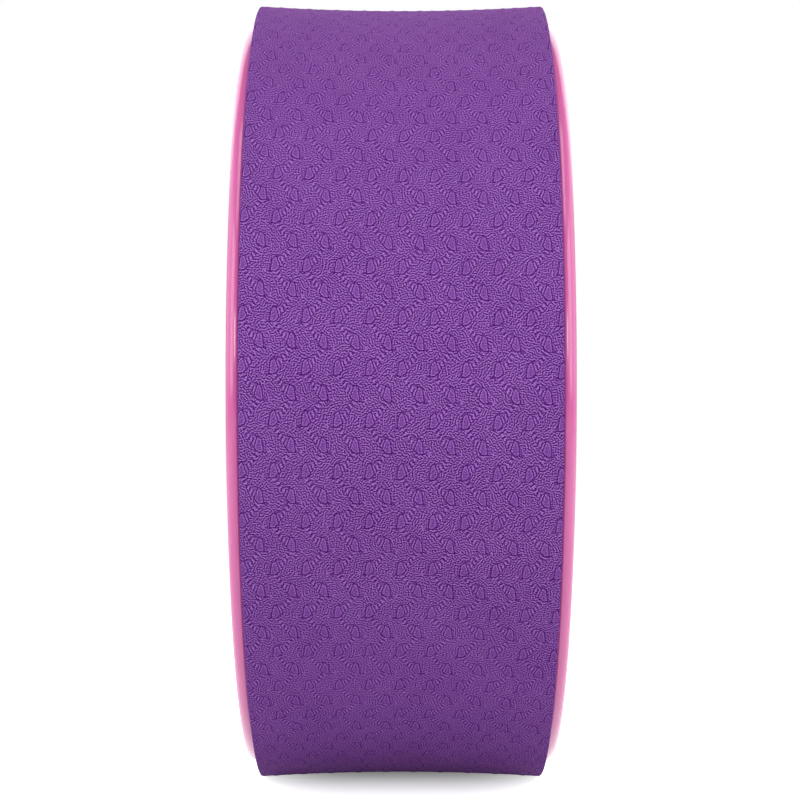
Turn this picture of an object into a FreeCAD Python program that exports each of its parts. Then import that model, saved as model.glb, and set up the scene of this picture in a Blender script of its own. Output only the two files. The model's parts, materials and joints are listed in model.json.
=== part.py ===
"""Yoga wheel: two moulded half hoops closed at mid-width, an adhesive film and a foam tread mat.

Millimetres. The wheel's axis is +Y, its centre is the origin and +Z is up, so it stands on its tread.
The right half lies at +Y and the left half at -Y, as seen from +X.
"""

import FreeCAD, Part
import math
import os

# Overall sizes
wheel_diameter = 330.0  # over the mat's two edges, where the tread is widest
wheel_width = 128.0  # over the two rims
waist_depth = 1.9  # how far the tread is hollowed at mid-width

# Foam mat and the film that holds it
mat_thickness = 7.4
mat_side_gap = 0.3  # between each edge of the mat and the rim's lip beside it
mat_edge_round = 0.5
mat_seam_gap = 0.3  # between the two butted ends of the strip
mat_seam_angle = 200.0  # degrees round the wheel from +X, away from the front
film_thickness = 0.2  # the film itself, which is coated on both faces
film_inset = 2.0  # from the mat's edge in to the film's, so that no glue squeezes out
glue_coat = 0.15  # on each face of the film, left as a gap

# Hoop section
outer_wall = 2.6  # at mid-width, where it is thinnest
inner_wall = 2.6  # at mid-width, where it is thinnest
hollow_depth = 3.5  # clear height between the walls at mid-width
lip_width = 4.95  # of the raised rim on each side of the channel that the mat lies in
lip_height = 1.4  # of the lip over the channel's floor
lip_edge_round = 0.3  # on the lip towards the mat; the rest of its width is rounded over outwards
bore_round = 5.3  # between the side of the wheel and the bore
rim_wall = 3.0  # from the side of the wheel to the end of the hollow
hollow_draft = 0.5  # degrees on each wall, so that the mould's core pulls out

# Lap joint at mid-width: the left half has the tongues, the right half the rebates
lap_length = 2.5
lap_thickness = 1.3
lap_clearance = 0.1
seam_chamfer = 0.4  # on both halves, a fine groove round the bore where they meet

# Ribs between the walls, and the tabs that turn every second rib into a key
rib_count = 24
rib_thickness = 2.0
rib_setback = 4.0  # from mid-width to the ribs' ends, clear of the lap joint
tab_thickness = 3.0
tab_reach = 12.0  # past mid-width, into the right half
tab_lead = 2.0  # length of the tab's tapered tip
tab_taper = 0.7  # how far the tip is drawn in on each side
tab_clearance = 0.15

# Places worked out from the sizes above
half_width = wheel_width / 2
half_channel = half_width - lip_width
half_mat = half_channel - mat_side_gap
half_film = half_mat - film_inset
tread_radius = wheel_diameter / 2

# The tread, the mat's underside, the film and the hoop's seat are arcs about one point beyond the tread
tread_arc = (half_mat**2 + waist_depth**2) / (2 * waist_depth)
arc_centre = tread_radius - waist_depth + tread_arc
mat_arc = tread_arc + mat_thickness
film_top_arc = mat_arc + glue_coat
film_low_arc = film_top_arc + film_thickness
seat_arc = film_low_arc + glue_coat


def arc_height(arc_radius, across):
    """Distance from the wheel's axis to one of the hollow arcs, at a distance across from mid-width."""
    return arc_centre - math.sqrt(arc_radius**2 - across**2)


seat_waist = arc_height(seat_arc, 0)
seat_edge = arc_height(seat_arc, half_channel)
bore_radius = seat_waist - outer_wall - hollow_depth - inner_wall
half_bore = half_width - bore_round
lip_top = seat_edge + lip_height
rim_round = lip_width - lip_edge_round
land_outer = lip_top - rim_round
land_inner = bore_radius + bore_round

hollow_end = half_width - rim_wall
hollow_inner = bore_radius + inner_wall
hollow_outer = seat_waist - outer_wall
hollow_middle = (hollow_inner + hollow_outer) / 2
draft_rise = hollow_end * math.tan(math.radians(hollow_draft))
tip_half_depth = (hollow_outer - hollow_inner) / 2 - draft_rise
hollow_straight = hollow_end - tip_half_depth

axis_point = FreeCAD.Vector(0, 0, 0)
axis_direction = FreeCAD.Vector(0, 1, 0)
rib_step = 360.0 / rib_count


def at(across, height):
    """Point of a section: across is measured along the axis, height from the axis, in the +X half plane."""
    return FreeCAD.Vector(height, across, 0)


def line(start, end):
    return Part.LineSegment(start, end).toShape()


def arc(start, middle, end):
    return Part.Arc(start, middle, end).toShape()


def hollow_curve(arc_radius, start, end):
    """Stretch of one of the concave arcs between two distances from mid-width."""
    points = [at(across, arc_height(arc_radius, across)) for across in (start, (start + end) / 2, end)]
    return arc(*points)


def quarter_round(centre_across, centre_height, radius, start_angle, side):
    """Quarter of a circle that turns on towards the side of the wheel and the bore, on the given side."""
    points = []
    for turn in (0, -45, -90):
        angle = math.radians(start_angle + turn)
        across = centre_across + radius * math.cos(angle)
        points.append(at(side * across, centre_height + radius * math.sin(angle)))
    return arc(*points)


def path(points):
    """Straight edges through the points, in order."""
    return [line(start, end) for start, end in zip(points, points[1:])]


def revolved(edges, turn=360.0, start_angle=0.0):
    """Closed section turned about the wheel's axis. The angles grow from +X towards +Z."""
    face = Part.Face(Part.Wire(Part.__sortEdges__(edges)))
    face.rotate(axis_point, axis_direction, -start_angle)
    return face.revolve(axis_point, axis_direction, -turn)


def shell_outside(side):
    """Outer line of a half hoop's section: channel, lip, side and bore, from mid-width round to mid-width."""
    lip_edge = half_channel + lip_edge_round
    lip_foot = lip_top - lip_edge_round
    return [
        hollow_curve(seat_arc, 0, side * half_channel),
        line(at(side * half_channel, seat_edge), at(side * half_channel, lip_foot)),
        quarter_round(lip_edge, lip_foot, lip_edge_round, 180, side),
        quarter_round(lip_edge, land_outer, rim_round, 90, side),
        line(at(side * half_width, land_outer), at(side * half_width, land_inner)),
        quarter_round(half_bore, land_inner, bore_round, 0, side),
        line(at(side * half_bore, bore_radius), at(side * seam_chamfer, bore_radius)),
        line(at(side * seam_chamfer, bore_radius), at(0, bore_radius + seam_chamfer)),
    ]


def hollow_inside(side, start):
    """The drafted hollow between the walls, open at mid-width and rounded at its end in the rim."""
    inner_tip = at(side * hollow_straight, hollow_middle - tip_half_depth)
    outer_tip = at(side * hollow_straight, hollow_middle + tip_half_depth)
    return [
        line(at(side * start, hollow_inner), inner_tip),
        arc(inner_tip, at(side * hollow_end, hollow_middle), outer_tip),
        line(outer_tip, at(side * start, hollow_outer)),
    ]


def lap_line(side, reach, wall_radius, hollow_radius, step_radius):
    """Stepped edge of one wall at mid-width. A tongue reaches out past mid-width, a rebate reaches in."""
    end = side * reach
    return path([at(0, wall_radius), at(0, step_radius), at(end, step_radius), at(end, hollow_radius)])


def shell(side, reach, step):
    """Ring with a U section. reach is how far the lap's step lies from mid-width, step its depth in the wall."""
    edges = shell_outside(side)
    edges += lap_line(side, reach, bore_radius + seam_chamfer, hollow_inner, hollow_inner - step)
    edges += lap_line(side, reach, seat_waist, hollow_outer, hollow_outer + step)
    edges += hollow_inside(side, reach)
    return revolved(edges)


def web(side, thickness, start, offset, angle):
    """Rib between the walls, sunk a little into them and the rim, from a distance start outwards."""
    sunk = lap_thickness / 2
    low = hollow_inner - sunk
    high = hollow_outer + sunk
    ends = sorted((side * start, side * (hollow_end + sunk)))
    corner = FreeCAD.Vector(low, ends[0], offset - thickness / 2)
    body = Part.makeBox(high - low, ends[1] - ends[0], thickness, corner)
    body.rotate(axis_point, axis_direction, -angle)
    return body


def tab(angle):
    """Key that a left rib carries past mid-width, with a tapered tip, clear of the right half's walls."""
    low = hollow_inner + tab_clearance
    high = hollow_outer - tab_clearance
    corners = [
        at(0, low),
        at(tab_reach - tab_lead, low),
        at(tab_reach, low + tab_taper),
        at(tab_reach, high - tab_taper),
        at(tab_reach - tab_lead, high),
        at(0, high),
        at(0, low),
    ]
    side_face = Part.Face(Part.Wire(path(corners)))
    side_face.translate(FreeCAD.Vector(0, 0, -tab_thickness / 2))
    body = side_face.extrude(FreeCAD.Vector(0, 0, tab_thickness))
    body.rotate(axis_point, axis_direction, -angle)
    return body


def key_angles():
    return [index * rib_step for index in range(0, rib_count, 2)]


def plain_angles():
    return [index * rib_step for index in range(1, rib_count, 2)]


def left_half_hoop():
    """Half with the lap tongues. Every second rib is thicker and carries a tab."""
    left = -1
    pieces = [web(left, rib_thickness, rib_setback, 0, angle) for angle in plain_angles()]
    pieces += [web(left, tab_thickness, -lap_length, 0, angle) for angle in key_angles()]
    pieces += [tab(angle) for angle in key_angles()]
    return shell(left, -lap_length, lap_thickness).fuse(pieces).removeSplitter()


def right_half_hoop():
    """Half with the lap rebates. Two ribs side by side take each tab between them."""
    right = 1
    pieces = [web(right, rib_thickness, rib_setback, 0, angle) for angle in plain_angles()]
    beside = tab_thickness / 2 + tab_clearance + rib_thickness / 2
    for angle in key_angles():
        pieces += [web(right, rib_thickness, rib_setback, offset, angle) for offset in (-beside, beside)]
    rebate = lap_length + lap_clearance
    return shell(right, rebate, lap_thickness + lap_clearance).fuse(pieces).removeSplitter()


def strip(edges, radius):
    """Section wrapped round the wheel as an open strip, with a gap between its ends at the seam."""
    gap = math.degrees(mat_seam_gap / radius)
    return revolved(edges, 360.0 - gap, mat_seam_angle + gap / 2)


def adhesive_film():
    """Thin coated film between the seat and the mat, a little narrower than the mat."""
    low_height = arc_height(film_low_arc, half_film)
    top_height = arc_height(film_top_arc, half_film)
    edges = [
        hollow_curve(film_low_arc, -half_film, half_film),
        line(at(half_film, low_height), at(half_film, top_height)),
        hollow_curve(film_top_arc, half_film, -half_film),
        line(at(-half_film, top_height), at(-half_film, low_height)),
    ]
    return strip(edges, seat_edge)


def mat_shoulder(side):
    """Rounded outer edge of the mat and its straight side below."""
    top = at(side * (half_mat - mat_edge_round), arc_height(tread_arc, half_mat - mat_edge_round))
    low = at(side * half_mat, arc_height(mat_arc, half_mat))
    turn = at(side * half_mat, tread_radius - mat_edge_round)
    bow = mat_edge_round * (1 - math.cos(math.radians(45)))
    crown = at(side * (half_mat - bow), tread_radius - bow)
    return [arc(top, crown, turn), line(turn, low)]


def tread_mat():
    """Foam strip with a hollowed tread and rounded outer edges, laid in the channel between the lips."""
    top = half_mat - mat_edge_round
    edges = [hollow_curve(mat_arc, -half_mat, half_mat)]
    edges += mat_shoulder(1)
    edges += [hollow_curve(tread_arc, top, -top)]
    edges += mat_shoulder(-1)
    return strip(edges, tread_radius)


builders = (left_half_hoop, right_half_hoop, adhesive_film, tread_mat)

os.makedirs("parts", exist_ok=True)
for build in builders:
    solid = build()
    solid.exportStep(f"parts/{build.__name__}.step")
    box = solid.optimalBoundingBox(True, False)
    print(
        f"{build.__name__}: valid {solid.isValid()}, solids {len(solid.Solids)}, faces {len(solid.Faces)}, "
        f"volume {solid.Volume / 1000:.1f} cm3, size {box.XLength:.2f} x {box.YLength:.2f} x {box.ZLength:.2f}"
    )
print(f"bore radius {bore_radius:.3f}, straight over {2 * half_bore:.3f}, lip at {lip_top:.3f}")
print(f"rim round {rim_round:.2f}, mat width {2 * half_mat:.2f}, side land {land_inner:.2f} to {land_outer:.2f}")
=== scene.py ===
# %% [markdown]
# # A yoga wheel
#
# The wheel is a wide, stiff plastic hoop with an embossed foam mat glued round it. The packed
# construction model gives every place and size, in metres, with the wheel's axis along Y. This lesson
# dresses it: the mat gets its pressed pattern as real relief, the two moulded half hoops get smooth
# glossy rims, and a white studio is set up around them.

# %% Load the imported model
import json
import math

import bpy
import numpy as np
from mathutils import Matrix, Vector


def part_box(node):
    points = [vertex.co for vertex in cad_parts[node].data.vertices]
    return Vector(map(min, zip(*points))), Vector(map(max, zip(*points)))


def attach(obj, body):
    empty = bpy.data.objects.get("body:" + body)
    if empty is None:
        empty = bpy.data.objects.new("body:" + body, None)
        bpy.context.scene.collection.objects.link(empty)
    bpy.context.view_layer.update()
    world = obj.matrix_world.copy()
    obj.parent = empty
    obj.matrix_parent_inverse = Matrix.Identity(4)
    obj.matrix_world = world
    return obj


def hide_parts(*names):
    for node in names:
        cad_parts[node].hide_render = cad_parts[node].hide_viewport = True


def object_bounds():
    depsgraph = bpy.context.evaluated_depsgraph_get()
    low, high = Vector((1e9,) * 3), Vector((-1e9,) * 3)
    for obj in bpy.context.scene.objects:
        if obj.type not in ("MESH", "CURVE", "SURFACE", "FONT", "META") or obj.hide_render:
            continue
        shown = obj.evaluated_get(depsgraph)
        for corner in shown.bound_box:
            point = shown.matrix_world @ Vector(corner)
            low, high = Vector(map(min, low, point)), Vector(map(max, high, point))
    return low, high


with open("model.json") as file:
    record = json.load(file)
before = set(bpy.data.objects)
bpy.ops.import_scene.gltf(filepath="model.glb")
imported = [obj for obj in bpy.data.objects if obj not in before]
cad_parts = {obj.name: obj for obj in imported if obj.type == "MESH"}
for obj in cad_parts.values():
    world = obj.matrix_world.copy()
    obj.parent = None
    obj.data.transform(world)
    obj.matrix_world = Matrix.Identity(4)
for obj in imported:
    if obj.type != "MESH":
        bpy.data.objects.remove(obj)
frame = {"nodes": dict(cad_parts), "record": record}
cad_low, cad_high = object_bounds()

print("nodes:", sorted(frame["nodes"]))
print("construction box:", [round(v, 4) for v in cad_low], [round(v, 4) for v in cad_high])

# %% [markdown]
# ## Sizes that the pieces share
#
# The tread is slightly waisted, so the mat and the hoop's seat are shallow arcs across the wheel, all
# struck about one far centre. The mat lies in a shallow channel between two lips. A piece that replaces
# a node has to lie where the node lies, so the widths come from the boxes of the nodes, and the bore
# from the stated mount.

# %% Sizes from the frame
MM = 0.001
half_width = cad_high.y
half_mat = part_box("tread_mat")[1].y
tread_radius = 165.0 * MM
waist_depth = 1.9 * MM
mat_thickness = 7.4 * MM
glue_line = 0.5 * MM
lip_width = 4.95 * MM
mounts = {mount["name"]: mount for mount in frame["record"]["mounts"]}
bore_radius = mounts["hoop_bore"]["dims"]["r_mm"] * MM
half_bore = mounts["hoop_bore"]["dims"]["length_mm"] * MM / 2
half_channel = half_width - lip_width

tread_arc = (half_mat**2 + waist_depth**2) / (2 * waist_depth)
arc_centre = tread_radius - waist_depth + tread_arc


def arc_height(depth, across):
    """Distance from the axis of the arc that lies a given depth under the tread: the far centre's
    distance, less the root of the arc's radius squared minus the distance across squared."""
    return arc_centre - np.sqrt((tread_arc + depth) ** 2 - np.square(across))


seat_depth = mat_thickness + glue_line
seat_edge = float(arc_height(seat_depth, half_channel))
print(f"mat {2 * half_mat / MM:.1f} mm wide in a channel of {2 * half_channel / MM:.1f} mm")
print(f"channel's floor at {seat_edge / MM:.2f} mm from the axis, bore at {bore_radius / MM:.2f} mm")

# %% [markdown]
# ## Turning a table of points into a mesh
#
# Every piece of this wheel is a closed section carried round the axis, so it can be written as a table
# of points: one row for each angle round the wheel, one column for each point of the section. Quads
# between neighbours make the skin. foreach_set copies whole arrays into the mesh, which is far faster
# than adding faces one by one.


# %% Mesh helpers
def around(angles, across, heights):
    """Points of a turned piece: x is height times the cosine of the angle, z is height times its sine,
    and y is the distance across. Heights may be one per column, or one per row and column."""
    heights = np.broadcast_to(heights, (len(angles), len(across)))
    x = heights * np.cos(angles)[:, None]
    z = heights * np.sin(angles)[:, None]
    y = np.broadcast_to(across, heights.shape)
    return np.stack([x, y, z], axis=-1)


def quad_corners(rows, columns, closed_rows):
    """Row and column numbers of each quad's four corners. The columns wrap, as the section is closed,
    and the rows wrap too where the piece is a whole ring. Numbers run one past the end to wrap."""
    row_count = rows if closed_rows else rows - 1
    row, column = np.meshgrid(np.arange(row_count), np.arange(columns), indexing="ij")
    corner_rows = np.stack([row, row, row + 1, row + 1], axis=-1).reshape(-1, 4)
    corner_columns = np.stack([column, column + 1, column + 1, column], axis=-1).reshape(-1, 4)
    return corner_rows, corner_columns


def mesh_object(name, points, closed_rows, sharp_angle):
    """Object with the skin over a table of points. An open strip gets a flat cap at each end."""
    rows, columns = points.shape[:2]
    corner_rows, corner_columns = quad_corners(rows, columns, closed_rows)
    loops = ((corner_rows % rows) * columns + corner_columns % columns).ravel()
    starts = np.arange(0, loops.size, 4)
    if not closed_rows:
        first_cap = np.arange(columns)[::-1]
        last_cap = np.arange(columns) + (rows - 1) * columns
        starts = np.concatenate([starts, [loops.size, loops.size + columns]])
        loops = np.concatenate([loops, first_cap, last_cap])
    mesh = bpy.data.meshes.new(name)
    mesh.vertices.add(rows * columns)
    mesh.vertices.foreach_set("co", points.astype(np.float32).ravel())
    mesh.loops.add(loops.size)
    mesh.loops.foreach_set("vertex_index", loops.astype(np.int32))
    mesh.polygons.add(starts.size)
    mesh.polygons.foreach_set("loop_start", starts.astype(np.int32))
    mesh.polygons.foreach_set("use_smooth", np.ones(starts.size, dtype=bool))
    mesh.update(calc_edges=True)
    mesh.set_sharp_from_angle(angle=math.radians(sharp_angle))
    thing = bpy.data.objects.new(name, mesh)
    bpy.context.scene.collection.objects.link(thing)
    print(f"{name}: {rows} x {columns} points, {starts.size} faces")
    return thing


# %% [markdown]
# ## The pressed pattern
#
# The foam comes from a roller that presses the same tile again and again, and the strip was laid on a
# trace askew. A tile holds two leaf-shaped pads. The second is the first one mirrored, half a tile
# further round, so one fold brings every place back to a single pad. Beside the pad lie a faint plate,
# two small petals and a ladder of short strokes that climbs to the next pad. This section counts in
# millimetres, x across and y round the wheel. The pads are large enough for the mesh, and the finish
# draws the finer strokes later from the same lists.

# %% Repeat of the pattern
tile_across = 11.567
tile_round = 18.76
half_tile = tile_round / 2
second_pad_across = 6.37
row_slope = -0.0173
column_lean = 0.0062
first_pad = (0.27, 4.61)
fold_left = -4.25
fold_low = -3.08


def pattern_place(across, run):
    """Place in the slightly askew frame of the pattern, whose origin is the middle of one pad: the
    distance across less the lean times the run, and the run less the slope times the distance across."""
    return across - column_lean * run - first_pad[0], run - row_slope * across - first_pad[1]


def near_pad(x, y):
    """Place as seen from the pad it belongs to, x towards the petals and y towards the tip. The run is
    split into rows half a tile high, and every second row is shifted and mirrored."""
    row = np.floor((y - fold_low) / half_tile)
    odd = row % 2
    mirrored = (1 - 2 * odd) * (x - odd * second_pad_across)
    return (mirrored - fold_left) % tile_across + fold_left, y - row * half_tile


print(f"tile {tile_across} mm across and {tile_round} mm round")

# %% Marks that go with one pad
pad_corners = ((-1.44, -2.63), (0.28, -2.63), (1.67, -1.14), (0.37, 2.72), (0.16, 2.72), (-0.91, 1.73))
plate_corners = ((-2.8, -2.6), (-1.75, -2.6), (-1.55, -0.6), (-1.65, 0.5), (-2.4, 0.2), (-2.8, -0.8))
corner_softness = 0.45
# Each stroke: its middle, half its run, its width and its height, less than zero for a cut
strokes = (
    ((1.72, 0.96), (-0.38, 0.9), 0.23, 1.0),
    ((2.78, 1.75), (-0.1, 0.45), 0.28, 1.1),
    ((2.0, 2.72), (0.5, 0.05), 0.22, 0.5),
    ((3.75, 3.17), (-0.22, 0.38), 0.28, 1.1),
    ((4.75, 4.67), (-0.22, 0.36), 0.28, 1.1),
    ((5.95, 5.95), (-0.42, 0.22), 0.26, 1.0),
    ((-3.72, -2.5), (0.0, 0.42), 0.24, 0.9),
    ((2.25, 1.08), (-0.5, 1.08), 0.21, -1.0),
    ((3.35, 2.4), (-0.3, 0.75), 0.24, -1.0),
    ((1.5, 3.2), (0.9, 0.15), 0.2, -0.7),
    ((4.2, 3.83), (-0.46, 0.42), 0.24, -1.1),
    ((5.1, 5.5), (-0.55, 0.35), 0.24, -1.1),
    ((-2.15, -2.84), (0.7, 0.0), 0.2, -0.8),
    ((0.75, -2.4), (0.6, 0.42), 0.22, -0.5),
)


def sides_of(corners):
    """Outward normal and offset of each side of a convex outline with its corners anticlockwise. A
    place's distance outside the side is its product with the normal, less the offset."""
    sides = []
    for start, end in zip(corners, corners[1:] + corners[:1]):
        along = np.subtract(end, start) / math.dist(start, end)
        normal = (float(along[1]), float(-along[0]))
        sides.append((normal, float(np.dot(normal, start))))
    return sides


def smooth_max(first, second, softness):
    """Larger of two numbers, with the corner between them filled: with h the share of the softness
    left over by their difference, a sixth of the softness times h cubed is added."""
    share = np.maximum(softness - np.abs(first - second), 0) / softness
    return np.maximum(first, second) + softness * share**3 / 6


def outline_distance(x, y, corners):
    """Distance outside a convex outline, less than zero inside, with its corners rounded."""
    total = None
    for normal, offset in sides_of(corners):
        distance = normal[0] * x + normal[1] * y - offset
        total = distance if total is None else smooth_max(total, distance, corner_softness)
    return total


pad_middle = -outline_distance(0, 0, pad_corners)
print(f"{len(strokes)} strokes go with each pad, whose middle lies {pad_middle:.2f} mm inside its outline")

# %% Height of the pattern
pad_height = 0.16 * MM
plate_height = 0.05 * MM
groove_depth = 0.1 * MM
groove_width = 0.35
shoulder = 0.45


def swelling(distance):
    """Rounded step: none outside an outline, full a shoulder's width inside it."""
    rise = np.clip(-distance / shoulder, 0, 1)
    return rise * (2 - rise)


def relief(x, y):
    """Height of the mesh over the plain tread: the pad and its plate, and a bell-shaped groove along
    the pad's outline."""
    near_x, near_y = near_pad(x, y)
    pad = outline_distance(near_x, near_y, pad_corners)
    plate = outline_distance(near_x, near_y, plate_corners)
    groove = np.exp(-(((pad - groove_width / 2) / groove_width) ** 2))
    return pad_height * swelling(pad) + plate_height * swelling(plate) - groove_depth * groove


sample_across = np.linspace(0, tile_across, 104)
sample_round = np.linspace(0, tile_round, 168)
sample = relief(sample_across[None, :], sample_round[:, None])
print(f"relief runs from {sample.min() / MM:.2f} to {sample.max() / MM:.2f} mm")

# %% [markdown]
# ## The foam mat
#
# The mat is a strip over 7 mm thick, wrapped once round and butted at the back. A modifier could press
# an image into it, but a table of points fine enough to hold the pads is simpler and exact, with a point
# about every 0.45 mm each way. The section runs up the left cut side, over the tread and down the right
# side. The soft edge settles on the hoop as a narrow skirt, so it reaches lower than the underside.

# %% Section of the mat
point_step = 0.45 * MM
edge_round = 0.5 * MM
skirt_width = 1.3 * MM
skirt_gap = 0.04 * MM
skirt_shares = np.array([0.4, 1.0])
under_start = 1.3 * skirt_width
corner_points, side_points, under_points = 6, 8, 10

reach = math.floor((half_mat - edge_round) / point_step)
tread_across = np.arange(-reach, reach + 1) * point_step
turn = np.radians(np.linspace(90, 0, corner_points))
corner_across = half_mat - edge_round + edge_round * np.cos(turn)
corner_height = arc_height(0, half_mat - edge_round) - edge_round + edge_round * np.sin(turn)
side_foot = arc_height(seat_depth, half_mat) + skirt_gap
side_height = np.linspace(corner_height[-1], side_foot, side_points)[1:]
outer_across = np.concatenate([corner_across, np.full(side_height.size, half_mat)])
outer_height = np.concatenate([corner_height, side_height])

skirt_across = half_mat - skirt_shares * skirt_width
under_across = np.linspace(half_mat - under_start, 0, under_points)[:-1]
inner_across = np.concatenate([skirt_across, under_across])
skirt_height = arc_height(seat_depth, skirt_across) + skirt_gap
inner_height = np.concatenate([skirt_height, arc_height(mat_thickness, under_across)])

shown_across = np.concatenate([-outer_across[::-1], tread_across, outer_across])
shown_height = np.concatenate([outer_height[::-1], arc_height(0, tread_across), outer_height])
mat_across = np.concatenate([shown_across, inner_across, -inner_across[::-1]])
mat_height = np.concatenate([shown_height, inner_height, inner_height[::-1]])
print(f"mat section: {mat_across.size} points, {tread_across.size} of them over the tread")

# %% Rows round the wheel
seam_angle = math.radians(200)
seam_gap = 0.3 * MM
middle_radius = tread_radius - waist_depth

half_gap = seam_gap / 2 / tread_radius
strip_start = seam_angle - 2 * math.pi + half_gap
strip_end = seam_angle - half_gap
# Three close rows round off each end of the strip, in place of the first two evenly spaced ones
end_rows = np.array([0.0, 0.1, 0.3]) * MM / tread_radius
row_count = round((strip_end - strip_start) * middle_radius / point_step)
inner_rows = np.linspace(strip_start, strip_end, row_count)[2:-2]
mat_angles = np.concatenate([strip_start + end_rows, inner_rows, strip_end - end_rows[::-1]])
print(f"mat rows: {mat_angles.size}, seam at {math.degrees(seam_angle):.0f} degrees, behind the wheel")

# %% Lay the pattern on the strip
end_round = 0.25 * MM
foam_crease = 50
side_share = np.zeros(side_height.size)
pressed_outer = np.concatenate([np.sin(turn), side_share])
pressed = np.concatenate([pressed_outer[::-1], np.ones(tread_across.size), pressed_outer])
pressed = np.concatenate([pressed, np.zeros(2 * inner_across.size)])

round_run = mat_angles * middle_radius
pattern = relief(*pattern_place(mat_across[None, :] / MM, round_run[:, None] / MM)) * pressed
from_end = np.minimum(mat_angles - strip_start, strip_end - mat_angles) * tread_radius
end_drop = end_round * np.exp(-from_end / end_round)
heights = mat_height + pattern - end_drop[:, None] * pressed
tread_foam = mesh_object("tread_foam", around(mat_angles, mat_across, heights), False, foam_crease)

# %% [markdown]
# ## Maps on the mat
#
# The foam's finish follows the surface, so it needs a flat map of the strip in the pattern's own frame,
# in millimetres, as if it were unrolled. A second map lays the same strip out in three bands that fill
# a square, for baking.


# %% Unrolled map and baking map
def add_map(thing, name, u, v):
    """UV map from the corners of the quads. All corners of the two end caps share one point."""
    pairs = np.stack([u.ravel(), v.ravel()], axis=-1)
    caps = len(thing.data.loops) - len(pairs)
    pairs = np.concatenate([pairs, np.tile(pairs[:1], (caps, 1))])
    layer = thing.data.uv_layers.new(name=name)
    layer.data.foreach_set("uv", pairs.astype(np.float32).ravel())


closed_across = np.append(mat_across, mat_across[0])
closed_height = np.append(mat_height, mat_height[0])
steps = np.hypot(np.diff(closed_across), np.diff(closed_height))
run = np.concatenate([[0.0], np.cumsum(steps)])
middle_run = run[shown_across.size // 2]
corner_rows, corner_columns = quad_corners(mat_angles.size, mat_across.size, False)
flat_across = (run[corner_columns] - middle_run) / MM
add_map(tread_foam, "unrolled", *pattern_place(flat_across, round_run[corner_rows] / MM))

bands = 3
band_margin = 0.01
band_top = 0.87
hidden_low, hidden_high = 0.89, 0.99
row_quads = mat_angles.size - 1
band_rows = math.ceil(row_quads / bands)
shown_run = run[shown_across.size - 1]
band = corner_rows[:, :1] // band_rows
shown_u = (band + band_margin + (1 - 2 * band_margin) * run[corner_columns] / shown_run) / bands
shown_v = band_margin + (corner_rows - band * band_rows) / band_rows * (band_top - band_margin)
hidden_share = (run[corner_columns] - shown_run) / (run[-1] - shown_run)
hidden_u = band_margin + (1 - 2 * band_margin) * corner_rows / row_quads
hidden_v = hidden_low + (hidden_high - hidden_low) * hidden_share
is_shown = corner_columns[:, :1] < shown_across.size - 1
bake_u = np.where(is_shown, shown_u, hidden_u)
bake_v = np.where(is_shown, shown_v, hidden_v)
add_map(tread_foam, "OFBake", bake_u, bake_v)

print("maps:", [layer.name for layer in tread_foam.data.uv_layers])

# %% Cut faces take a second finish
first_pressed = side_height.size
last_pressed = shown_across.size - side_height.size - 1
face_columns = corner_columns[:, 0]
is_pressed = (face_columns >= first_pressed) & (face_columns < last_pressed)
finish_number = np.concatenate([np.where(is_pressed, 0, 1), [1, 1]])
tread_foam.data.polygons.foreach_set("material_index", finish_number.astype(np.int32))
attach(tread_foam, "root")
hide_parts("tread_mat")
print(f"{int(is_pressed.sum())} pressed faces, {int((~is_pressed).sum())} cut faces")

# %% [markdown]
# ## The two half hoops
#
# Each half is an injection-moulded ring with a U section: the channel under the mat, a lip that is
# rounded over to a flat side, the straight bore, and a drafted hollow that opens towards the other half.
# The lip's edge beside the mat is rounded too, and lies in the mat's shade as a thin dark line. The
# halves meet at mid-width in a lap joint, which shows only as a fine V groove round the bore. Glossy
# plastic shows every facet in its highlights, so the rings are turned much finer than the construction
# model's mesh. The mould leaves faint sink marks over the ribs inside.

# %% Section of a half hoop
lip_height = 1.4 * MM
lip_edge_round = 0.9 * MM
lip_top = seat_edge + lip_height
rim_round = lip_width - lip_edge_round
bore_round = half_width - half_bore
wall = 2.6 * MM
rim_wall = 3.0 * MM
hollow_draft = math.radians(0.5)
lap_length = 2.5 * MM
lap_thickness = 1.3 * MM
lap_clearance = 0.1 * MM
seam_chamfer = 0.4 * MM
round_points, edge_points, seat_points, bore_points, tip_points = 25, 9, 25, 13, 13

seat_waist = float(arc_height(seat_depth, 0))
hollow_low = bore_radius + wall
hollow_high = seat_waist - wall
hollow_middle = (hollow_low + hollow_high) / 2
hollow_end = half_width - rim_wall
tip_radius = (hollow_high - hollow_low) / 2 - hollow_end * math.tan(hollow_draft)
hollow_straight = hollow_end - tip_radius


def quarter(across, height, radius, start, count):
    """Quarter of a circle from a start angle on towards the bore: its centre plus the radius times the
    cosine across and the sine outwards."""
    turn = np.radians(np.linspace(start, start - 90, count))
    return across + radius * np.cos(turn), height + radius * np.sin(turn)


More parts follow.
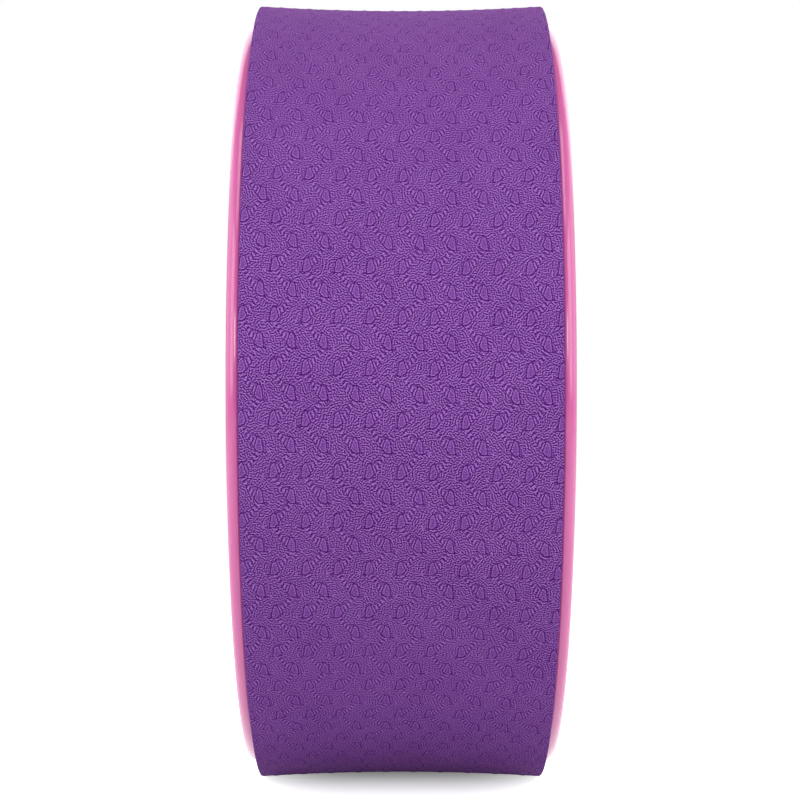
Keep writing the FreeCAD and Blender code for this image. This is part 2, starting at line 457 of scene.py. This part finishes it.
def half_hoop_section(lap_end, lap_step):
    """Closed section of a half at positive y, from the channel at mid-width over the lip, along the bore
    and back through the hollow. The lap ends at lap_end, lap_step deep in each wall."""
    seat_across = np.linspace(0, half_channel, seat_points)
    lip_edge = half_channel + lip_edge_round
    edge_centre, rim_centre = lip_top - lip_edge_round, lip_top - rim_round
    edge_across, edge_height = quarter(lip_edge, edge_centre, lip_edge_round, 180, edge_points)
    rim_across, rim_height = quarter(lip_edge, rim_centre, rim_round, 90, round_points)
    turn_across, turn_height = quarter(half_bore, bore_radius + bore_round, bore_round, 0, round_points)
    bore_across = np.linspace(half_bore, seam_chamfer, bore_points)[1:]
    tip = np.radians(np.linspace(-90, 90, tip_points))
    lap_across = np.array([0, 0, lap_end, lap_end])
    low_lap, high_lap = hollow_low - lap_step, hollow_high + lap_step
    low_step = np.array([bore_radius + seam_chamfer, low_lap, low_lap, hollow_low])
    high_step = np.array([hollow_high, high_lap, high_lap])
    across = [seat_across, edge_across, rim_across[1:], turn_across, bore_across, lap_across]
    across += [hollow_straight + tip_radius * np.cos(tip), lap_across[:0:-1]]
    heights = [arc_height(seat_depth, seat_across), edge_height, rim_height[1:], turn_height]
    heights += [np.full(bore_across.size, bore_radius), low_step]
    heights += [hollow_middle + tip_radius * np.sin(tip), high_step]
    return np.concatenate(across), np.concatenate(heights)


rebate_end = lap_length + lap_clearance
rebate_step = lap_thickness + lap_clearance
section_points = half_hoop_section(rebate_end, rebate_step)[0].size
print(f"half hoop section: {section_points} points, {(lip_top - bore_radius) / MM:.1f} mm deep")

# %% Turn the two halves
hoop_rows = 720
rib_count = 24
sink_depth = 0.05 * MM
sink_width = 1.7 * MM
sink_fade = 10 * MM
plastic_crease = 30
hoop_angles = np.arange(hoop_rows) * 2 * math.pi / hoop_rows


def wrapped(offset, period):
    """Offset to the nearest copy of something that repeats with a period."""
    return (offset + period / 2) % period - period / 2


def sink_marks(angles, across, heights):
    """Sunk lines in the bore over the ribs: the depth times the bell curve of the distance round the
    wheel from the nearest rib, on the points of the bore and fading out before its ends."""
    from_rib = wrapped(angles, 2 * math.pi / rib_count) * bore_radius
    line = sink_depth * np.exp(-((from_rib / sink_width) ** 2))
    on_bore = (heights < bore_radius + seam_chamfer / 2).astype(float)
    fade = np.clip((half_bore - np.abs(across)) / sink_fade, 0, 1)
    return line[:, None] * (on_bore * fade)[None, :]


def half_hoop(name, node, side, lap_end, lap_step):
    """One half as a closed ring. The left half is the mirrored section, run the other way round so
    that its faces still point outwards."""
    across, heights = half_hoop_section(lap_end, lap_step)
    if side < 0:
        across, heights = -across[::-1], heights[::-1]
    table = heights + sink_marks(hoop_angles, across, heights)
    ring = mesh_object(name, around(hoop_angles, across, table), True, plastic_crease)
    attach(ring, "root")
    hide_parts(node)
    return ring


left_hoop = half_hoop("left_hoop", "left_half_hoop", -1, -lap_length, lap_thickness)
right_hoop = half_hoop("right_hoop", "right_half_hoop", 1, rebate_end, rebate_step)


# %% [markdown]
# ## Finishes
#
# A finish is a small graph of nodes. A few helpers keep the graphs short: one adds a node and fills its
# inputs with numbers or with other nodes' outputs, and the others do a sum, stretch a value or blend two
# colours. What is the same all over a surface is set straight on the shader.


# %% Node helpers
def put(tree, kind, inputs, **options):
    """Adds a node, sets its options, and fills its inputs from numbers, colours or other outputs."""
    node = tree.nodes.new(kind)
    for name, value in options.items():
        setattr(node, name, value)
    for name, value in inputs.items():
        if isinstance(value, bpy.types.NodeSocket):
            tree.links.new(value, node.inputs[name])
        else:
            node.inputs[name].default_value = value
    return node


def maths(tree, operation, first, second=0.0, third=0.0):
    """Output of one sum."""
    return put(tree, "ShaderNodeMath", {0: first, 1: second, 2: third}, operation=operation).outputs[0]


def vector_maths(tree, operation, first, second=(0, 0, 0)):
    """Output of one sum of vectors: a number for a dot product, a vector for the rest."""
    outputs = put(tree, "ShaderNodeVectorMath", {0: first, 1: second}, operation=operation).outputs
    return outputs["Value" if operation == "DOT_PRODUCT" else "Vector"]


def share_between(tree, value, low, high):
    """Output that runs from 0 to 1 as the value runs from low to high."""
    return put(tree, "ShaderNodeMapRange", {"Value": value, "From Min": low, "From Max": high}).outputs[0]


def stretch(tree, value, low, high):
    """Output that runs from low to high as the value runs from 0 to 1."""
    return put(tree, "ShaderNodeMapRange", {"Value": value, "To Min": low, "To Max": high}).outputs[0]


def clouds(tree, place, scale, detail):
    """Output of a soft noise between 0 and 1, with so many lumps to a unit of length."""
    inputs = {"Vector": place, "Scale": scale, "Detail": detail}
    return put(tree, "ShaderNodeTexNoise", inputs).outputs["Fac"]


def blend_colours(tree, share, first, second):
    """Colour between two colours."""
    inputs = {"Factor": share, 6: first, 7: second}
    return put(tree, "ShaderNodeMix", inputs, data_type="RGBA").outputs[2]


def new_finish(name):
    """Empty material, with its node tree and its shader."""
    material = bpy.data.materials.new(name)
    material.use_nodes = True
    tree = material.node_tree
    return material, tree, tree.nodes["Principled BSDF"]


print("node helpers ready")

# %% [markdown]
# ### Pressed foam
#
# Between the marks the mat is covered with a fine leather grain, a maze of winding ridges a little under
# a millimetre apart. A Gabor texture is just that: many small patches of waves, each turned a bit
# differently. The ridges lean one way in a row of pads and the other way in the next. Grain and strokes
# are too fine for the mesh, so they are a bump. The same heights also set the colour, with painted shade
# in all hollows and grooves and a painted highlight on what stands up. A trace of sheen lightens the
# foam where it is seen at a slant.

# %% Grain of the foam
grain_spacing = 0.92
waves_per_patch = 1.7
grain_lean = math.radians(36)
grain_order = 0.3
grain_low, grain_high = 0.36, 0.64

pressed_foam, tree, shader = new_finish("pressed_foam")
flat = put(tree, "ShaderNodeUVMap", {}, uv_map="unrolled").outputs["UV"]
split = put(tree, "ShaderNodeSeparateXYZ", {"Vector": flat}).outputs
turned = maths(tree, "COSINE", maths(tree, "MULTIPLY", split["Y"], 2 * math.pi / tile_round))
swing = maths(tree, "MULTIPLY_ADD", turned, 0.5, 0.5)
lean = stretch(tree, swing, math.pi / 2 - grain_lean, math.pi / 2 + grain_lean)
grain = {
    "Vector": flat,
    "Scale": 1 / (waves_per_patch * grain_spacing),
    "Frequency": waves_per_patch,
    "Anisotropy": grain_order,
    "Orientation": lean,
}
ridges = put(tree, "ShaderNodeTexGabor", grain).outputs["Value"]
limits = {"Value": ridges, "From Min": grain_low, "From Max": grain_high, "To Min": -1.0, "To Max": 1.0}
maze = put(tree, "ShaderNodeMapRange", limits, interpolation_type="SMOOTHSTEP").outputs[0]
print("grain:", len(tree.nodes), "nodes")


# %% The marks once more, as nodes
def near_pad_nodes(tree, split):
    """The fold of near_pad as nodes."""
    above_fold = maths(tree, "SUBTRACT", split["Y"], fold_low)
    row = maths(tree, "FLOOR", maths(tree, "DIVIDE", above_fold, half_tile))
    odd = maths(tree, "FLOORED_MODULO", row, 2.0)
    shifted = maths(tree, "SUBTRACT", split["X"], maths(tree, "MULTIPLY", odd, second_pad_across))
    mirrored = maths(tree, "MULTIPLY", shifted, maths(tree, "MULTIPLY_ADD", odd, -2.0, 1.0))
    near_x = maths(tree, "WRAP", mirrored, fold_left + tile_across, fold_left)
    near_y = maths(tree, "SUBTRACT", split["Y"], maths(tree, "MULTIPLY", row, half_tile))
    return put(tree, "ShaderNodeCombineXYZ", {"X": near_x, "Y": near_y}).outputs[0]


def outline_nodes(tree, place, corners):
    """The distance of outline_distance as nodes."""
    total = None
    for normal, offset in sides_of(corners):
        product = vector_maths(tree, "DOT_PRODUCT", place, (*normal, 0))
        distance = maths(tree, "SUBTRACT", product, offset)
        total = distance if total is None else maths(tree, "SMOOTH_MAX", total, distance, corner_softness)
    return total


def bell(tree, distance, middle, width):
    """Bell curve of a distance: the exponential of minus the square of its offset over the width."""
    offset = maths(tree, "DIVIDE", maths(tree, "SUBTRACT", distance, middle), width)
    return maths(tree, "EXPONENT", maths(tree, "MULTIPLY", maths(tree, "MULTIPLY", offset, offset), -1.0))


def stroke_nodes(tree, place, middle, half_run, width):
    """Bell-shaped ridge along a short line. In the line's own frame, what lies beyond its length and
    beside it is left over as a vector, and the ridge falls off with that vector's square."""
    turn = math.atan2(half_run[1], half_run[0])
    frame_inputs = {"Vector": place, "Location": (*middle, 0), "Rotation": (0, 0, turn)}
    own = put(tree, "ShaderNodeMapping", frame_inputs, vector_type="TEXTURE").outputs[0]
    size = vector_maths(tree, "ABSOLUTE", own)
    past = vector_maths(tree, "SUBTRACT", size, (math.hypot(*half_run), 0, 0))
    rest = vector_maths(tree, "MAXIMUM", past)
    square = vector_maths(tree, "DOT_PRODUCT", rest, rest)
    return maths(tree, "EXPONENT", maths(tree, "MULTIPLY", square, -1 / width**2))


place = near_pad_nodes(tree, split)
pad_distance = outline_nodes(tree, place, pad_corners)
plate_distance = outline_nodes(tree, place, plate_corners)
marks, covered = 0.0, 0.0
for middle, half_run, width, height in strokes:
    ridge = stroke_nodes(tree, place, middle, half_run, width)
    marks = maths(tree, "MULTIPLY_ADD", ridge, height, marks)
    covered = maths(tree, "MAXIMUM", covered, ridge)
print("marks:", len(tree.nodes), "nodes")

# %% Height of grain and marks
groove_place, rim_place, line_width = 0.17, -0.22, 0.19
grain_strength, mark_strength, line_strength, rim_strength = 0.62, 0.62, 0.64, 0.46
calm_on_pad, calm_on_plate = 0.6, 0.3
outline_edge = (0.1, -0.2)
bump_depth = 0.15 * MM

on_pad = maths(tree, "MULTIPLY", share_between(tree, pad_distance, *outline_edge), calm_on_pad)
on_plate = maths(tree, "MULTIPLY", share_between(tree, plate_distance, *outline_edge), calm_on_plate)
groove = bell(tree, pad_distance, groove_place, line_width)
rim = bell(tree, pad_distance, rim_place, line_width)
calm = on_pad
for other in (on_plate, covered, groove):
    calm = maths(tree, "MAXIMUM", calm, other)
plain = maths(tree, "MULTIPLY", maths(tree, "SUBTRACT", 1.0, calm), grain_strength)
surface = maths(tree, "MULTIPLY", maze, plain)
surface = maths(tree, "MULTIPLY_ADD", marks, mark_strength, surface)
surface = maths(tree, "MULTIPLY_ADD", groove, -line_strength, surface)
surface = maths(tree, "MULTIPLY_ADD", rim, rim_strength, surface)
bump = put(tree, "ShaderNodeBump", {"Height": surface, "Distance": bump_depth, "Strength": 1.0}).outputs[0]
print("grain and marks:", len(tree.nodes), "nodes")

# %% Colour of the pressed foam
# Painted shade for the hollows, the foam's own purple, and a painted highlight for the tops
foam_painted_shade = (0.064, 0.004, 0.134, 1)
foam_middle = (0.18, 0.051, 0.299, 1)
foam_painted_highlight = (0.442, 0.205, 0.62, 1)
middle_shade = 0.43
shade_strength = 0.66
patch_scale = 0.04
patch_shade = (0.36, 0.48)
foam_roughness = (0.75, 0.6)

patches = clouds(tree, flat, patch_scale, 2.0)
# Painted shade and highlight: the heights darken the hollows and grooves and make raised marks paler, over
# random patches of tone
shade = maths(tree, "MULTIPLY_ADD", surface, shade_strength, stretch(tree, patches, *patch_shade))
shade = put(tree, "ShaderNodeClamp", {"Value": shade}).outputs[0]
below = share_between(tree, shade, 0.0, middle_shade)
above = share_between(tree, shade, middle_shade, 1.0)
low_colour = blend_colours(tree, below, foam_painted_shade, foam_middle)
foam_colour = blend_colours(tree, above, low_colour, foam_painted_highlight)
tree.links.new(foam_colour, shader.inputs["Base Color"])
tree.links.new(stretch(tree, shade, *foam_roughness), shader.inputs["Roughness"])
tree.links.new(bump, shader.inputs["Normal"])
shader.inputs["Specular IOR Level"].default_value = 0.04
shader.inputs["Sheen Weight"].default_value = 0.15
shader.inputs["Sheen Roughness"].default_value = 0.4
shader.inputs["Sheen Tint"].default_value = (0.8, 0.2, 0.85, 1)
tread_foam.data.materials.append(pressed_foam)
print("pressed foam:", len(tree.nodes), "nodes")

# %% [markdown]
# ### Cut foam
#
# The sides of the strip are cut, so they show the foam's tiny closed cells: a Voronoi pattern of dots
# about 0.3 mm wide, with painted shade that makes them a little darker in the hollows.

# %% Cut foam
cells_per_metre = 3200.0
cell_depth = 0.06 * MM
# The colour at each cell's middle, its hollow, is painted shade
shaded_cell_middle, cell_edge = (0.13, 0.031, 0.22, 1), (0.21, 0.06, 0.335, 1)
cut_roughness = (0.85, 0.7)

cut_foam, tree, shader = new_finish("cut_foam")
place = put(tree, "ShaderNodeTexCoord", {}).outputs["Object"]
cells = put(tree, "ShaderNodeTexVoronoi", {"Vector": place, "Scale": cells_per_metre}).outputs["Distance"]
cell_bump = put(tree, "ShaderNodeBump", {"Height": cells, "Distance": cell_depth, "Strength": 0.7}).outputs[0]
cut_colour = blend_colours(tree, cells, shaded_cell_middle, cell_edge)
tree.links.new(cut_colour, shader.inputs["Base Color"])
tree.links.new(stretch(tree, cells, *cut_roughness), shader.inputs["Roughness"])
tree.links.new(cell_bump, shader.inputs["Normal"])
shader.inputs["Specular IOR Level"].default_value = 0.05
tread_foam.data.materials.append(cut_foam)
print("cut foam:", len(tree.nodes), "nodes")

# %% [markdown]
# ### Glossy moulded plastic
#
# The hoop is coloured all through and leaves a polished mould, so it is glossy, with a trace of ripple
# in the surface and a slightly uneven colour and gloss.

# %% Pink plastic
cloud_scale = 28.0
ripple_scale = 260.0
ripple_depth = 0.02 * MM
deep_pink, light_pink = (0.77, 0.138, 0.418, 1), (0.81, 0.152, 0.446, 1)
plastic_roughness = (0.12, 0.2)

pink_plastic, tree, shader = new_finish("pink_plastic")
place = put(tree, "ShaderNodeTexCoord", {}).outputs["Object"]
cloud = clouds(tree, place, cloud_scale, 3.0)
ripple = clouds(tree, place, ripple_scale, 1.0)
ripple_inputs = {"Height": ripple, "Distance": ripple_depth, "Strength": 0.5}
ripple_bump = put(tree, "ShaderNodeBump", ripple_inputs).outputs[0]
pink = blend_colours(tree, cloud, deep_pink, light_pink)
tree.links.new(pink, shader.inputs["Base Color"])
tree.links.new(stretch(tree, cloud, *plastic_roughness), shader.inputs["Roughness"])
tree.links.new(ripple_bump, shader.inputs["Normal"])
shader.inputs["IOR"].default_value = 1.53
shader.inputs["Specular IOR Level"].default_value = 0.7
left_hoop.data.materials.append(pink_plastic)
right_hoop.data.materials.append(pink_plastic)
print("pink plastic:", len(tree.nodes), "nodes")

# %% [markdown]
# ### Adhesive film
#
# The film between hoop and mat is hidden, apart from a hairline in the mat's seam. It keeps its node
# from the construction model, with a milky, slightly blotchy coat.

# %% Adhesive film
blotch_scale = 180.0
film_dull, film_clear = (0.62, 0.58, 0.5, 1), (0.78, 0.75, 0.68, 1)
film_roughness = (0.3, 0.55)

film, tree, shader = new_finish("adhesive_film")
place = put(tree, "ShaderNodeTexCoord", {}).outputs["Object"]
blotches = clouds(tree, place, blotch_scale, 4.0)
milky = blend_colours(tree, blotches, film_dull, film_clear)
tree.links.new(milky, shader.inputs["Base Color"])
tree.links.new(stretch(tree, blotches, *film_roughness), shader.inputs["Roughness"])
film_node = frame["nodes"]["adhesive_film"]
film_node.data.materials.clear()
film_node.data.materials.append(film)
print("film:", len(tree.nodes), "nodes")

# %% [markdown]
# ## Studio
#
# The wheel stands on a white floor in front of white. The world and the floor look white to the camera,
# but light the wheel at a plain level: Light Path tells the two apart. Gloss reflects the white behind
# and beside the wheel, and the darker room overhead and behind the camera. The floor stays a real
# surface under that, so the wheel still throws a soft shadow, and the floor's glow is dimmed round the
# wheel's foot, which paints a shadow over the real one.


# %% White to the eye
def seen_directly(tree, in_gloss):
    """1 for rays from the camera or through glass, the given level for rays from a gloss, and 0 for
    rays that carry light."""
    light_path = put(tree, "ShaderNodeLightPath", {}).outputs
    straight = maths(tree, "MAXIMUM", light_path["Is Camera Ray"], light_path["Is Transmission Ray"])
    return maths(tree, "MAXIMUM", straight, maths(tree, "MULTIPLY", light_path["Is Glossy Ray"], in_gloss))


sky_level = 0.12
room_level = 0.3
front_full = 0.9
overhead_start, overhead_full = 0.5, 0.8

world = bpy.data.worlds.new("studio")
world.use_nodes = True
bpy.context.scene.world = world
tree = world.node_tree
sky = tree.nodes["Background"]
sky.inputs["Color"].default_value = (1, 1, 1, 1)
direction = put(tree, "ShaderNodeTexCoord", {}).outputs["Generated"]
split = put(tree, "ShaderNodeSeparateXYZ", {"Vector": direction}).outputs
in_front = share_between(tree, split["X"], 0.0, front_full)
overhead = share_between(tree, split["Z"], overhead_start, overhead_full)
room = stretch(tree, maths(tree, "MAXIMUM", in_front, overhead), 1.0, room_level)
tree.links.new(maths(tree, "MAXIMUM", seen_directly(tree, room), sky_level), sky.inputs["Strength"])
print("world ready")

# %% Floor
floor_half = 6.0
floor_level = cad_low.z
corners = [(-1, -1), (1, -1), (1, 1), (-1, 1)]
floor_points = [(x * floor_half, y * floor_half, floor_level) for x, y in corners]
floor_mesh = bpy.data.meshes.new("floor")
floor_mesh.from_pydata(floor_points, [], [(0, 1, 2, 3)])
floor = bpy.data.objects.new("floor", floor_mesh)
bpy.context.scene.collection.objects.link(floor)
print(f"floor at {floor_level / MM:.1f} mm")

# %% Floor paint
floor_white = 0.86
# Size and darkness of the painted shadow that the floor's dimmed glow leaves round the wheel's foot
shadow_ahead = 0.085
shadow_half_width = 0.066
shadow_squareness = 4.0
painted_shadow_lift = 0.19
gloss_fade = 0.5

floor_paint = bpy.data.materials.new("floor_paint")
floor_paint.use_nodes = True
tree = floor_paint.node_tree
tree.nodes.clear()
matt = put(tree, "ShaderNodeBsdfDiffuse", {"Color": (floor_white, floor_white, floor_white, 1)}).outputs[0]
place = put(tree, "ShaderNodeTexCoord", {}).outputs["Object"]
split = put(tree, "ShaderNodeSeparateXYZ", {"Vector": place}).outputs
# The lift makes the floor white to the eye. It is low under the wheel, which paints a shadow there over
# the real one, and grows with the distance ahead plus a power of the distance aside
ahead = maths(tree, "ABSOLUTE", maths(tree, "DIVIDE", split["X"], shadow_ahead))
sideways = maths(tree, "ABSOLUTE", maths(tree, "DIVIDE", split["Y"], shadow_half_width))
from_wheel = maths(tree, "ADD", ahead, maths(tree, "POWER", sideways, shadow_squareness))
lift = stretch(tree, from_wheel, painted_shadow_lift, 1.0)
beside = share_between(tree, split["X"], gloss_fade, 0.0)
lift = maths(tree, "MULTIPLY", seen_directly(tree, beside), lift)
glow = put(tree, "ShaderNodeEmission", {"Color": (1, 1, 1, 1), "Strength": lift}).outputs[0]
both = put(tree, "ShaderNodeAddShader", {0: matt, 1: glow}).outputs[0]
put(tree, "ShaderNodeOutputMaterial", {"Surface": both})
floor_mesh.materials.append(floor_paint)
print("floor paint:", len(tree.nodes), "nodes")


# %% Lamps
def soft_lamp(name, place, size, power):
    """Rectangular lamp at a place, turned to face the wheel's centre."""
    lamp = bpy.data.lights.new(name, "AREA")
    lamp.shape = "RECTANGLE"
    lamp.size, lamp.size_y = size
    lamp.energy = power
    thing = bpy.data.objects.new(name, lamp)
    thing.location = place
    direction = -thing.location
    thing.rotation_euler = direction.to_track_quat("-Z", "Y").to_euler()
    bpy.context.scene.collection.objects.link(thing)


# Each pair of lamps: how far ahead of the axle, aside and up, width and height in metres, and watts
lamp_pairs = {
    "front": ((1.28, 0.4, 0.33), (0.3, 0.28), 1.8),
    "fill": ((0.9, 0.95, 0.45), (0.75, 1.0), 5.6),
    "wall": ((-0.1, 1.3, 0.45), (1.1, 0.9), 1.9),
    "back": ((-1.1, 0.7, 0.95), (1.2, 1.1), 5.4),
}
for side, side_name in ((-1, "left"), (1, "right")):
    for name, ((ahead, aside, up), size, power) in lamp_pairs.items():
        soft_lamp(f"{side_name}_{name}", (ahead, aside * side, up), size, power)
soft_lamp("top", place=(0.7, 0, 1.5), size=(1.4, 1.0), power=9.5)

# %% [markdown]
# ## Camera
#
# The photograph looks at the tread square on, from a bit under three wheel diameters away. The camera
# is level, a little lower than the wheel's centre, and a small lens shift centres the wheel in the
# picture without tipping it.

# %% Camera
camera_distance = 0.94
camera_offset = -0.00043
camera_height = -0.025
lens_length = 97.1
lens_shift = 0.0632
view = bpy.data.cameras.new("camera")
view.lens = lens_length
view.shift_y = lens_shift
view.sensor_width = 36.0
view.clip_start = 0.01
camera = bpy.data.objects.new("camera", view)
camera.location = (camera_distance, camera_offset, camera_height)
camera.rotation_euler = (math.pi / 2, 0, math.pi / 2)
bpy.context.scene.collection.objects.link(camera)
bpy.context.scene.camera = camera
bpy.context.scene.view_settings.view_transform = "Standard"
print(f"camera {camera_distance} m from the axle")
